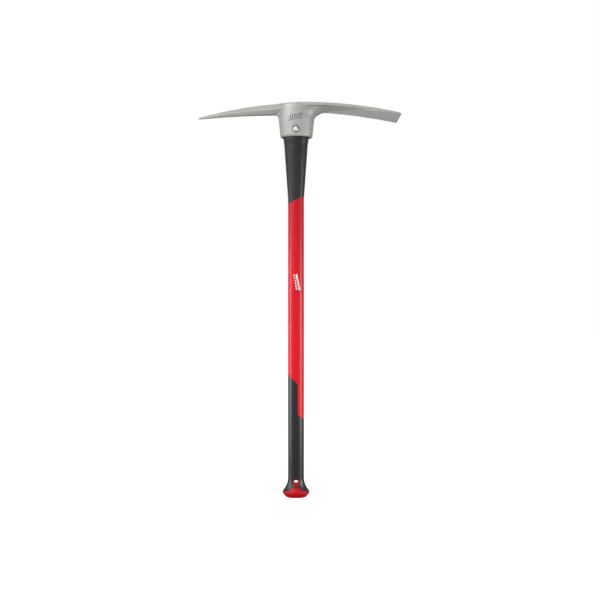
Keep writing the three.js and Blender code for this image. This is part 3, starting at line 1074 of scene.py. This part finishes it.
@dataclass
class EyeFilling:
    """The pool of set resin that closes the top of the eye."""

    top: float = EPOXY_BOX.high[2]
    bottom: float = EPOXY_BOX.low[2]
    half_x: float = 28.0
    half_y: float = 21.8
    bore_taper: float = 1.8
    skin: float = 0.3
    skin_wall: float = 1.0
    edge_reach: float = 6.0
    edge_climb: float = 1.2
    pool_depth: float = 2.0

    def build(self) -> bpy.types.Object:
        """Builds the resin: a skin down the bore and a pool whose edge climbs the wall.

        The rings run from the middle of the pool's underside out, down inside the skin, up
        its outside and in over the pool, which falls from the wall by the cube of the way left.
        """
        inside = self.skin + self.skin_wall
        under = self.ring(self.top - self.pool_depth, inside + 0.1)
        centre = self.top - 0.1
        rows = [under * np.array([0.08, 0.08, 1]), under, self.ring(self.bottom, inside + 0.02)]
        rows.append(self.ring(self.bottom, inside))
        rows.extend(self.ring(z, self.skin) for z in (self.bottom, self.top - 20, self.top + 1.0))
        for share in np.linspace(0, 1, 14)[1:]:
            climb = self.edge_climb * (1 - share) ** 3
            rows.append(self.ring(centre + climb, self.skin + self.edge_reach * share))
        for share in np.linspace(1, 0.08, 22)[1:]:
            ring = self.ring(centre, self.skin + self.edge_reach)
            ring[:, :2] *= share
            ring[:, 2] += 0.12 * np.sin(ring[:, 0] * 0.23 + 1.0) * np.cos(ring[:, 1] * 0.31) * (1 - share)
            rows.append(ring)
        crown = rows[-1].mean(0)
        rows.append(rows[-1] * np.array([0.5, 0.5, 1]))
        return revolved_piece("eye_resin", np.array(rows), (rows[0].mean(0), crown))

    def ring(self, z: float, inset: float) -> Array:
        """One level ring in the tapered bore.

        Args:
            z: Its height.
            inset: How far it is moved in from the bore.

        Returns:
            An array of points.
        """
        turn = np.linspace(0, 2 * np.pi, 144, endpoint=False)
        taper = self.bore_taper * (HEAD_BOX.high[2] - z) / HEAD_BOX.size(2)
        x, y = oval_ring(turn, self.half_x + taper - inset, self.half_y + taper - inset, 2.3)
        return np.stack([x, y, np.full(turn.shape, z)], -1)


@dataclass
class CrossFastening:
    """The socket screw, its sleeve nut and the two washers, turned about one axis along Y."""

    x: float = SCREW_BOX.middle(0)
    z: float = SCREW_BOX.middle(2)
    head: float = SCREW_BOX.size(0) / 2
    face: float = -SCREW_BOX.low[1]
    head_height: float = 3.8
    shank: float = 4.0
    sleeve: float = 5.5
    key: float = 5.0
    key_depth: float = 1.8
    length: float = 46.0
    clearance: float = 0.3
    bore_start: float = 11.0
    washer_rim: float = 7.6
    washer_thickness: float = 1.2
    washer_bevel: float = 0.3

    def turned(
        self, name: str, outline: Array, side: int, closed: bool = False, key_rows: int = 0
    ) -> bpy.types.Object:
        """A piece turned about the screw's axis.

        Args:
            name: The piece's name.
            outline: Rows of radius and distance in from the outer face.
            side: -1 for the front of the tool, 1 for the back.
            closed: Whether the outline is a loop, as on a washer.
            key_rows: How many first rows are six-sided for the hexagon key.

        Returns:
            The piece.
        """
        turn = np.linspace(0, 2 * np.pi, 96, endpoint=False)
        radius = np.repeat(outline[:, :1], len(turn), 1)
        sector = (turn + np.pi / 6) % (np.pi / 3) - np.pi / 6
        radius[:key_rows] /= np.cos(sector)
        x = self.x + radius * np.cos(turn)
        z = self.z + radius * np.sin(turn) * side
        y = side * (self.face - outline[:, 1:]) + 0 * x
        grid = np.stack([x, y, z], -1)
        if closed:
            return revolved_piece(name, grid, None, sharp=35)
        ends = [np.array([self.x, side * (self.face - outline[i, 1]), self.z]) for i in (0, -1)]
        return revolved_piece(name, grid, (ends[0], ends[1]), sharp=35)

    def socket_head(self) -> list[tuple[float, float]]:
        """The outline both ends share: key recess, domed face and the head's side."""
        apothem = self.key / 2
        dome = bezier([(apothem + 0.5, 0.0), (self.head - 1.0, 0.1), (self.head, 1.1)], 9)
        recess = [(0.1, self.key_depth), (apothem, self.key_depth), (apothem, 0.35), (apothem + 0.3, 0.0)]
        return [*recess, *dome, (self.head, self.head_height)]

    def screw(self) -> bpy.types.Object:
        """The socket screw: its head, then the shank."""
        shank = [(self.shank, self.head_height), (self.shank, self.length), (0.1, self.length)]
        return self.turned("screw_body", np.array(self.socket_head() + shank), -1, key_rows=3)

    def nut(self) -> bpy.types.Object:
        """The sleeve nut: the same head, with a hollow sleeve for the thread."""
        bore, end = self.shank + self.clearance, self.face - NUT_BOX.low[1]
        sleeve = [(self.sleeve, self.head_height), (self.sleeve, end), (bore, end)]
        sleeve += [(bore, self.bore_start), (0.1, self.bore_start)]
        return self.turned("nut_body", np.array(self.socket_head() + sleeve), 1, key_rows=3)

    def washer(self, name: str, side: int, inner: float) -> bpy.types.Object:
        """A washer with bevelled rims, between a head and its seat.

        Args:
            name: The piece's name.
            side: -1 in front, 1 behind.
            inner: Radius of what runs through it.

        Returns:
            The washer.
        """
        top, hole = self.head_height + self.clearance, inner + self.clearance
        bottom, rim, bevel = top + self.washer_thickness, self.washer_rim, self.washer_bevel
        outline = np.array([
            (hole, bottom), (hole, top), (rim - bevel, top), (rim, top + bevel), (rim, bottom - bevel),
            (rim - bevel, bottom),
        ])
        return self.turned(name, outline, side, closed=True)


# ---- shader expressions --------------------------------------------------------------------


class Link:
    """A shader socket that can stand in a Python expression."""

    def __init__(self, tree: "Shader", socket: bpy.types.NodeSocket) -> None:
        """Keeps the socket and the tree that it is in."""
        self.tree = tree
        self.socket = socket

    def __add__(self, other: Any) -> "Link":
        """Sum."""
        return self.tree.maths("ADD", self, other)

    def __radd__(self, other: Any) -> "Link":
        """Sum, other way round."""
        return self.tree.maths("ADD", other, self)

    def __sub__(self, other: Any) -> "Link":
        """Difference."""
        return self.tree.maths("SUBTRACT", self, other)

    def __rsub__(self, other: Any) -> "Link":
        """Difference, other way round."""
        return self.tree.maths("SUBTRACT", other, self)

    def __mul__(self, other: Any) -> "Link":
        """Product."""
        return self.tree.maths("MULTIPLY", self, other)

    def __truediv__(self, other: Any) -> "Link":
        """Quotient."""
        return self.tree.maths("DIVIDE", self, other)

    def step(self, low: float, high: float) -> "Link":
        """0 below low, 1 above high and an eased curve between."""
        inputs = {"Value": self, "From Min": low, "From Max": high}
        return self.tree.add("ShaderNodeMapRange", {"interpolation_type": "SMOOTHSTEP"}, inputs)

    def size(self) -> "Link":
        """The value without its sign."""
        return self.tree.maths("ABSOLUTE", self, 0.0)

    def wrap(self) -> "Link":
        """The part after the decimal point."""
        return self.tree.maths("FRACT", self, 0.0)


class Shader:
    """A material and the means to write its nodes as expressions."""

    def __init__(self, name: str, world: bpy.types.World | None = None) -> None:
        """Makes a material with its principled shader and output, or empties a world's nodes."""
        self.material = world or bpy.data.materials.new(name)
        self.material.use_nodes = True
        self.nodes = self.material.node_tree.nodes
        self.links = self.material.node_tree.links
        self.nodes.clear()
        if world:
            return
        self.surface = self.nodes.new("ShaderNodeBsdfPrincipled")
        output = self.nodes.new("ShaderNodeOutputMaterial")
        self.links.new(self.surface.outputs["BSDF"], output.inputs["Surface"])

    def add(
        self, kind: str, settings: dict[str, Any], inputs: dict[Any, Any], out: str | int | None = 0
    ) -> Link:
        """Adds any node.

        Args:
            kind: The node's type.
            settings: Its settings, set before the sockets.
            inputs: Values or links for its sockets, by name or number.
            out: The output that is wanted, or None for a node without one.

        Returns:
            The wanted output.
        """
        node = self.nodes.new(kind)
        for name, value in settings.items():
            setattr(node, name, value)
        for name, value in inputs.items():
            self.plug(node.inputs[name], value)
        return Link(self, None if out is None else node.outputs[out])

    def plug(self, socket: bpy.types.NodeSocket, value: Any) -> None:
        """Links a socket, or sets its own value.

        Args:
            socket: The socket.
            value: A link, a number, a vector, or a colour of three parts.
        """
        if isinstance(value, Link):
            self.links.new(value.socket, socket)
        elif isinstance(value, tuple) and len(value) == 3 and len(socket.default_value) == 4:
            socket.default_value = (*value, 1.0)
        else:
            socket.default_value = value

    def maths(self, operation: str, a: Any, b: Any) -> Link:
        """One Math node."""
        return self.add("ShaderNodeMath", {"operation": operation}, {0: a, 1: b})

    def mix(self, share: Any, a: Any, b: Any, blend: str = "MIX") -> Link:
        """A mix of two colours.

        Args:
            share: How much of the second colour.
            a: The first colour.
            b: The second colour.
            blend: How they mix.

        Returns:
            The mixed colour.
        """
        node = self.nodes.new("ShaderNodeMix")
        node.data_type = "RGBA"
        node.blend_type = blend
        for socket, value in ((node.inputs[0], share), (node.inputs[6], a), (node.inputs[7], b)):
            self.plug(socket, value)
        return Link(self, node.outputs[2])

    def grey(self, tone: Link) -> Link:
        """A number as a grey colour."""
        return self.add("ShaderNodeCombineColor", {}, {"Red": tone, "Green": tone, "Blue": tone})

    def place(self) -> Link:
        """The point on the piece, in metres."""
        return self.add("ShaderNodeTexCoord", {}, {}, "Object")

    def stretched(self, scale: tuple[float, float, float]) -> Link:
        """The point on the piece, scaled along each axis."""
        return self.add("ShaderNodeVectorMath", {"operation": "MULTIPLY"}, {0: self.place(), 1: scale})

    def axes(self) -> tuple[Link, Link, Link]:
        """The point's x, y and z in millimetres."""
        return self.parts(self.stretched((1 / MM, 1 / MM, 1 / MM)))

    def parts(self, vector: Link) -> tuple[Link, Link, Link]:
        """The three parts of a vector."""
        split = self.add("ShaderNodeSeparateXYZ", {}, {"Vector": vector})
        sockets = split.socket.node.outputs
        return Link(self, sockets["X"]), Link(self, sockets["Y"]), Link(self, sockets["Z"])

    def noise(
        self, size: float, detail: float = 3.0, stretch: tuple[float, float, float] = (1, 1, 1)
    ) -> Link:
        """Noise whose lumps are about size millimetres across, shorter where stretch is large."""
        inputs = {"Vector": self.stretched(stretch), "Scale": 1 / (size * MM), "Detail": detail}
        return self.add("ShaderNodeTexNoise", {}, inputs, "Fac")

    def bump(self, height: Link, depth: float) -> Link:
        """A bump whose full height is depth millimetres."""
        return self.add("ShaderNodeBump", {}, {"Height": height, "Distance": depth * MM, "Strength": 1.0})

    def set(self, **values: Any) -> None:
        """Sets the principled shader's sockets; underscores stand for spaces."""
        for name, value in values.items():
            self.plug(self.surface.inputs[name.replace("_", " ")], value)


# ---- finishes ------------------------------------------------------------------------------


@dataclass(frozen=True)
class ForgePaint:
    """Silver-grey paint over a rough forging, burnished on corners, ground under the blade; the ground facet
    is also lightened nearly to white as a painted reflection of the floor.
    """

    colour: tuple[float, float, float] = (0.48, 0.48, 0.472)
    # Near-white facet colour: partly bare ground steel, partly a painted reflection of the pale floor.
    ground_and_painted_reflection: tuple[float, float, float] = (0.95, 0.95, 0.95)
    worn: tuple[float, float, float] = (0.66, 0.66, 0.65)
    stamped: tuple[float, float, float] = (0.07, 0.07, 0.07)
    stamp_height: float = 880.5
    stamp_pitch: float = 5.4

    def make(self) -> bpy.types.Material:
        """Builds the material."""
        s = Shader("forge_paint")
        ground_and_painted_reflection = s.add("ShaderNodeAttribute", {"attribute_name": "ground_and_painted_reflection"}, {}, "Fac")
        corner = s.add("ShaderNodeAttribute", {"attribute_name": "corner"}, {}, "Fac")
        cloud = s.noise(38, 4)
        grain = s.noise(1.6, 2)
        pits = s.noise(5.0, 3)
        streak = s.noise(3.2, 3, (0.08, 1, 1))
        tone = 0.86 + cloud * 0.16 + (grain - 0.5) * 0.16 + (streak - 0.5) * 0.14
        painted = s.mix(1.0, self.colour, s.grey(tone), "MULTIPLY")
        brushed = s.noise(0.7, 2, (1, 0.05, 1))
        # The facet's colour: bare steel lifted nearly to white, a painted reflection of the floor.
        bare_with_painted_reflection = s.mix(1.0, self.ground_and_painted_reflection, s.grey(0.9 + brushed * 0.2), "MULTIPLY")
        worn = s.mix(corner * 0.35, painted, self.worn)
        stamp = self.stamp(s)
        s.set(
            Base_Color=s.mix(stamp * 0.75, s.mix(ground_and_painted_reflection, worn, bare_with_painted_reflection), self.stamped),
            Metallic=0.25 + ground_and_painted_reflection * 0.1,
            Roughness=0.46 + (grain - 0.5) * 0.1 - ground_and_painted_reflection * 0.06 - corner * 0.06,
        )
        rough = (grain - 0.5) * 0.5 + (pits - 0.5) * 0.6
        s.set(Normal=s.bump(rough * (1 - ground_and_painted_reflection) - stamp * 2.0, 0.16))
        return s.material

    def stamp(self, s: Shader) -> Link:
        """A plain stamp on the eye's front: a slanted row of short bars over a thin line.

        Args:
            s: The material's nodes.

        Returns:
            1 on the stamp and 0 off it.
        """
        x, y, z = s.axes()
        level = z - self.stamp_height
        up = level * 0.974 - x * 0.225
        along = x * 0.974 + level * 0.225 - up * 0.45
        bars = ((along / self.stamp_pitch).wrap() - 0.5).size().step(0.29, 0.21)
        bars = bars * (up - 1.0).size().step(4.2, 3.8)
        line = (up + 6.0).size().step(0.95, 0.55)
        inside = along.size().step(16.4, 16.0) * y.step(-12.0, -16.0)
        return s.maths("MAXIMUM", bars, line) * inside


@dataclass(frozen=True)
class Rubber:
    """Black moulded rubber with a fine matt grain."""

    name: str
    colour: tuple[float, float, float] = (0.024, 0.024, 0.0248)
    roughness: float = 0.37
    sheen: float = 0.38
    dust: tuple[float, float, float] = (0.07, 0.068, 0.066)

    def make(self) -> bpy.types.Material:
        """Builds the material."""
        s = Shader(self.name)
        grain = s.noise(0.55, 2)
        cloud = s.noise(30, 3)
        dust = s.noise(7, 5)
        tone = 0.85 + cloud * 0.3
        base = s.mix(1.0, self.colour, s.grey(tone), "MULTIPLY")
        s.set(
            Base_Color=s.mix(dust.step(0.55, 0.8) * 0.12, base, self.dust),
            Roughness=self.roughness + (grain - 0.5) * 0.12 + (cloud - 0.5) * 0.06,
            Specular_IOR_Level=self.sheen,
            Normal=s.bump(grain, 0.035),
        )
        return s.material


@dataclass(frozen=True)
class RedPlastic:
    """Red moulded plastic, satin, with flow marks and, if wanted, a plain white mark and a painted glow: red
    light that the plastic gives off itself, though it is no lamp.
    """

    name: str
    colour: tuple[float, float, float] = (0.49, 0.0045, 0.014)
    roughness: float = 0.37
    marked: bool = False
    sheen: float = 0.28
    # painted glow: emission strength that paints light on the plastic, 0 for none
    painted_glow: float = 0.0
    ink: tuple[float, float, float] = (0.64, 0.53, 0.54)
    mark_height: float = 499.5
    dash_pitch: float = 6.2

    def make(self) -> bpy.types.Material:
        """Builds the material."""
        s = Shader(self.name)
        grain = s.noise(0.8, 2)
        flow = s.noise(22, 3, (1, 1, 0.2))
        base = s.mix(1.0, self.colour, s.grey(0.93 + flow * 0.14), "MULTIPLY")
        if self.marked:
            base = s.mix(self.mark(s), base, self.ink)
        s.set(
            Base_Color=base,
            Roughness=self.roughness + (grain - 0.5) * 0.08 + (flow - 0.5) * 0.05,
            # Emission paints red light on the surface: a painted glow, not a lamp.
            Emission_Color=self.colour,
            Emission_Strength=self.painted_glow,
            Specular_IOR_Level=self.sheen,
            Normal=s.bump(grain, 0.025),
        )
        return s.material

    def mark(self, s: Shader) -> Link:
        """A plain printed mark on the front: a leaning band beside a row of dashes.

        Args:
            s: The material's nodes.

        Returns:
            1 on the mark and 0 off it.
        """
        x, y, z = s.axes()
        up = z - self.mark_height
        across = x - 1.5 + up * 0.2
        band = (across - 3.1).size().step(2.2, 1.9)
        dashes = ((up / self.dash_pitch).wrap() - 0.5).size().step(0.36, 0.31)
        dashes = dashes * (across + 3.1).size().step(1.6, 1.3)
        return s.maths("MAXIMUM", band, dashes) * up.size().step(19.2, 18.8) * y.step(1.0, -1.0)


@dataclass(frozen=True)
class Metal:
    """Plated or blackened steel with fine turning marks."""

    name: str
    colour: tuple[float, float, float]
    roughness: float

    def make(self) -> bpy.types.Material:
        """Builds the material."""
        s = Shader(self.name)
        fine = s.noise(0.5, 2)
        cloud = s.noise(3.0, 3)
        s.set(
            Base_Color=s.mix(1.0, self.colour, s.grey(0.82 + cloud * 0.36), "MULTIPLY"),
            Metallic=1.0,
            Roughness=self.roughness + (fine - 0.5) * 0.18,
            Normal=s.bump(fine, 0.02),
        )
        return s.material


@dataclass(frozen=True)
class Cast:
    """A plain cast or pultruded body: resin, nylon or fibreglass."""

    name: str
    colour: tuple[float, float, float]
    roughness: float
    stretch: tuple[float, float, float] = (1, 1, 1)

    def make(self) -> bpy.types.Material:
        """Builds the material."""
        s = Shader(self.name)
        fibre = s.noise(1.2, 3, self.stretch)
        cloud = s.noise(9, 3)
        s.set(
            Base_Color=s.mix(1.0, self.colour, s.grey(0.75 + fibre * 0.3 + cloud * 0.2), "MULTIPLY"),
            Roughness=self.roughness + (cloud - 0.5) * 0.2,
            Normal=s.bump(fibre, 0.05),
        )
        return s.material


class Finish(Enum):
    """Every finish, with the record's slot that it belongs to."""

    FORGING = ("forged_steel", ForgePaint())
    GUARD = ("black_rubber", Rubber("guard_rubber"))
    GRIP = ("black_rubber", Rubber("grip_rubber", (0.009, 0.009, 0.0094), 0.4, 0.5))
    JACKET = ("red_plastic", RedPlastic("red_jacket_plastic", marked=True))
    CAP = ("red_plastic", RedPlastic("red_cap_plastic", (0.43, 0.0045, 0.01), 0.34, sheen=0.2))
    # The bush gets a painted glow, so that the inside of its bore reads lit; its base colour is dark to
    # balance it.
    BUSH = ("red_plastic", RedPlastic("red_bush_plastic", (0.2, 0.003, 0.008), 0.6, sheen=0.12, painted_glow=1.0))
    SCREW = ("fastener_steel", Metal("zinc_plate", (0.86, 0.86, 0.85), 0.42))
    # Washers: black-oxide steel, whose dark tone also paints the shade in the gap round the screw head in
    # its counterbore.
    WASHER = ("dark_steel", Metal("black_oxide_and_painted_shade", (0.24, 0.24, 0.24), 0.4))
    RESIN = ("epoxy", Cast("set_resin", (0.02, 0.019, 0.018), 0.25))
    NYLON = ("black_nylon", Cast("moulded_nylon", (0.03, 0.03, 0.032), 0.5))
    FIBREGLASS = ("fibreglass", Cast("pultruded_glass", (0.5, 0.4, 0.2), 0.45, (1, 1, 0.03)))

    def material(self) -> bpy.types.Material:
        """Makes the material on first use and gives it back afterwards."""
        if self.name not in MADE:
            MADE[self.name] = self.value[1].make()
        return MADE[self.name]


MADE: dict[str, bpy.types.Material] = {}


def dress(piece: bpy.types.Object, finish: Finish, node: str) -> bpy.types.Object:
    """Gives a new piece its finish and body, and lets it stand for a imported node.

    Args:
        piece: The new piece.
        finish: Its finish.
        node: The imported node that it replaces.

    Returns:
        The same piece.
    """
    piece.data.materials.clear()
    piece.data.materials.append(finish.material())
    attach(piece, "root")
    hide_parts(node)
    LOG.info("%s stands for %s", piece.name, node)
    return piece


def dress_node(node: str, finish: Finish) -> None:
    """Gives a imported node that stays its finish.

    Args:
        node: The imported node.
        finish: Its finish.
    """
    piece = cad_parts[node]
    if not piece.material_slots:
        piece.data.materials.append(finish.material())
    for place in piece.material_slots:
        place.material = finish.material()
    LOG.info("%s keeps its packed shape", node)


# ---- studio --------------------------------------------------------------------------------


@dataclass(frozen=True)
class Softbox:
    """A rectangular light that faces a point."""

    name: str
    place: tuple[float, float, float]
    width: float
    height: float
    power: float
    target: tuple[float, float, float] = (0.0, 0.0, 0.5)
    spread: float = 180.0

    def build(self) -> None:
        """Makes the light and turns it to its target."""
        light = bpy.data.lights.new(self.name, "AREA")
        light.shape = "RECTANGLE"
        light.size, light.size_y = self.width, self.height
        light.energy = self.power
        light.spread = math.radians(self.spread)
        lamp = bpy.data.objects.new(self.name, light)
        bpy.context.scene.collection.objects.link(lamp)
        lamp.location = self.place
        aim = Vector(self.target) - Vector(self.place)
        lamp.rotation_euler = aim.to_track_quat("-Z", "Y").to_euler()
        lamp.visible_camera = False


@dataclass
class Studio:
    """Pale floor, even surroundings, softboxes and the camera."""

    floor_radius: float = 9.0
    distance: float = 1.95
    camera_height: float = 0.458
    camera_side: float = 0.0093
    lens: float = 50.2
    bounce: float = 0.34
    front_glow: float = 0.15
    back_glow: float = 0.55
    lights: tuple[Softbox, ...] = field(default_factory=lambda: (
        Softbox("key", (-1.2, -1.8, 1.75), 1.8, 1.5, 40.0),
        Softbox("fill", (1.3, -0.85, 0.4), 0.8, 0.8, 4.9, (0.0, 0.0, 0.42), 110.0),
        Softbox("left_high", (-1.25, -0.45, 0.85), 0.3, 0.8, 2.5, (0.0, 0.0, 0.6)),
        Softbox("left_low", (-0.6, -0.25, 0.33), 0.24, 0.64, 0.8, (0.0, 0.0, 0.3), 60.0),
        Softbox("right_low", (0.6, -0.42, 0.28), 0.26, 0.54, 0.43, (0.0, 0.0, 0.25), 60.0),
        Softbox("under", (-0.5, -1.0, 0.12), 0.7, 0.4, 0.16, (0.06, 0.0, 0.92), 50.0),
        Softbox("top", (0.1, 0.2, 2.4), 1.5, 1.2, 10.0),
    ))

    def build(self) -> None:
        """Makes everything that isn't the object."""
        self.floor()
        self.surroundings()
        for light in self.lights:
            light.build()
        self.camera()

    def floor(self) -> None:
        """A wide level disc just under the butt, white to the eye and dimmer in what it sends up."""
        turn = np.linspace(0, 2 * np.pi, 96, endpoint=False)
        radius = np.array([0.05, 0.5, 1.5, 4.0, self.floor_radius])[::-1, None] / MM
        grid = np.stack([radius * np.cos(turn), radius * np.sin(turn), -0.05 + 0 * radius * turn], -1)
        rows, columns = grid.shape[:2]
        points = np.vstack([grid.reshape(-1, 3), [0, 0, -0.05]])
        faces = [ring_faces(rows, columns), pole_faces(rows - 1, columns, rows * columns, start=False)]
        disc = make_piece("studio_floor", points, faces)
        s = Shader("pale_floor")
        seen = s.add("ShaderNodeLightPath", {}, {}, "Is Camera Ray")
        s.set(
            Base_Color=s.mix(seen, (self.bounce,) * 3, (0.5, 0.5, 0.5)),
            Roughness=0.9,
            Emission_Color=s.mix(seen, (0.0, 0.0, 0.0), (0.9, 0.9, 0.9)),
            Emission_Strength=1.0,
        )
        disc.data.materials.append(s.material)

    def surroundings(self) -> None:
        """Bright behind the object; what lights it is dim in front and brighter behind."""
        world = bpy.data.worlds.new("surroundings")
        bpy.context.scene.world = world
        s = Shader("surroundings", world)
        way = s.add("ShaderNodeTexCoord", {}, {}, "Generated")
        back = s.parts(way)[1].step(-0.5, 0.8)
        dim = s.add("ShaderNodeBackground", {}, {"Strength": self.front_glow + back * self.back_glow})
        bright = s.add("ShaderNodeBackground", {}, {"Color": (1.0, 1.0, 1.0), "Strength": 1.0})
        seen = s.add("ShaderNodeLightPath", {}, {}, "Is Camera Ray")
        blend = s.add("ShaderNodeMixShader", {}, {0: seen, 1: dim, 2: bright})
        s.add("ShaderNodeOutputWorld", {}, {"Surface": blend}, None)

    def camera(self) -> None:
        """A level camera straight in front, half-way up the tool."""
        data = bpy.data.cameras.new("camera")
        data.sensor_width = 36.0
        data.lens = self.lens
        eye = bpy.data.objects.new("camera", data)
        bpy.context.scene.collection.objects.link(eye)
        eye.location = (self.camera_side, -self.distance, self.camera_height)
        eye.rotation_euler = (math.pi / 2, 0.0, 0.0)
        bpy.context.scene.camera = eye
        bpy.context.scene.view_settings.view_transform = "Standard"


# ---- assembly ------------------------------------------------------------------------------


def main() -> None:
    """Builds and dresses every piece, then the studio."""
    logging.basicConfig(level=logging.INFO, format="%(message)s")
    dress(ForgedHead().build(), Finish.FORGING, "mattock_head")
    dress(Guard().build(), Finish.GUARD, "overstrike_guard")
    dress(Jacket().build(), Finish.JACKET, "handle_jacket")
    dress(RearGrip().build(), Finish.GRIP, "rear_grip")
    dress(ButtCap().build(), Finish.CAP, "butt_cap")
    dress(Bush().build(), Finish.BUSH, "lanyard_bush")
    dress(EyeFilling().build(), Finish.RESIN, "eye_epoxy")
    fastening = CrossFastening()
    dress(fastening.screw(), Finish.SCREW, "cross_screw")
    dress(fastening.nut(), Finish.SCREW, "sleeve_nut")
    dress(fastening.washer("front_washer", -1, fastening.shank), Finish.WASHER, "screw_washer")
    dress(fastening.washer("rear_washer", 1, fastening.sleeve), Finish.WASHER, "nut_washer")
    dress_node("eye_tenon", Finish.NYLON)
    dress_node("handle_core", Finish.FIBREGLASS)
    Studio().build()


if __name__ == "__main__":
    main()
